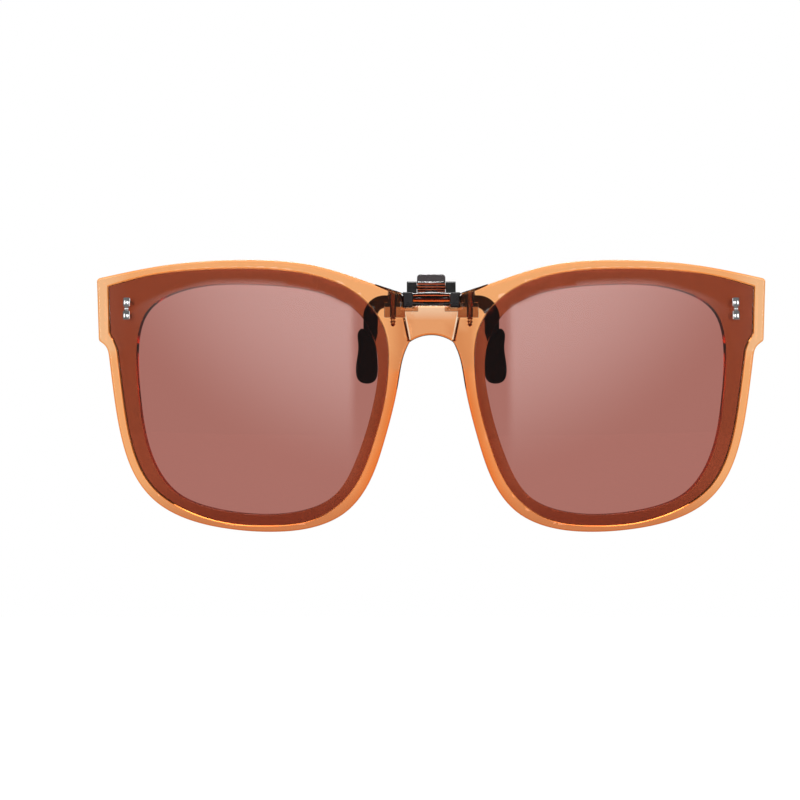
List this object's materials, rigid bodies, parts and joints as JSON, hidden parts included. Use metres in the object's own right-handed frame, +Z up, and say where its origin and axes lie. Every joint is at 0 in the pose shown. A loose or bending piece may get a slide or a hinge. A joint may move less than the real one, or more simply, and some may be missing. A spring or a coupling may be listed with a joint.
{
  "type": "clip-on flip-up sunglasses lenses",
  "caption": "Clip-on tinted lenses in a translucent one-piece front that flips up on a hinge above a spring jaw clip with sleeved arms.",
  "frame": {"origin": "middle of the closed jaw gap, at the height of the centres of the sleeve pads, on the symmetry plane", "axes": "+X to the right as seen from the front, +Y from the front towards the wearer's face, +Z up"},
  "size_m": [0.148, 0.0155, 0.0598],
  "materials": {
    "amber_plastic": "polished translucent",
    "tinted_lens": "polished tint",
    "smoke_plastic": "polished translucent",
    "black_metal": "black coat",
    "black_silicone": "matte",
    "bright_metal": "polished",
    "steel": "satin"
  },
  "bodies": {
    "clip": {"clip_housing": "smoke_plastic", "flip_axle": "steel", "friction_washer_left": "steel", "friction_washer_right": "steel", "front_arm_bar": "black_metal", "front_sleeve_left": "black_silicone", "front_sleeve_right": "black_silicone", "jaw_axle": "steel", "torsion_spring": "steel", "housing_rivets": "steel"},
    "flip_front": {"frame_front": "amber_plastic", "lens_left": "tinted_lens", "lens_right": "tinted_lens", "rivet_left": "bright_metal", "rivet_right": "bright_metal", "rivet_washers": "amber_plastic", "hinge_saddle": "smoke_plastic", "saddle_screws": "steel"},
    "rear_jaw": {"squeeze_lever": "smoke_plastic", "rear_arm_bar": "black_metal", "rear_sleeve_left": "black_silicone", "rear_sleeve_right": "black_silicone", "lever_rivets": "steel"}
  },
  "joints": [
    {"name": "flip_hinge", "type": "hinge", "parent": "clip", "child": "flip_front", "pos_m": [0, -0.0052, 0.0127], "axis": [-1, 0, 0], "range_deg": [0, 90]},
    {"name": "jaw_hinge", "type": "hinge", "parent": "clip", "child": "rear_jaw", "pos_m": [0, 0, 0.0153], "axis": [1, 0, 0], "range_deg": [0, 18], "stiffness_Nm_per_rad": 0.05, "springref_deg": -17.19, "deforming": ["torsion_spring"]}
  ]
}
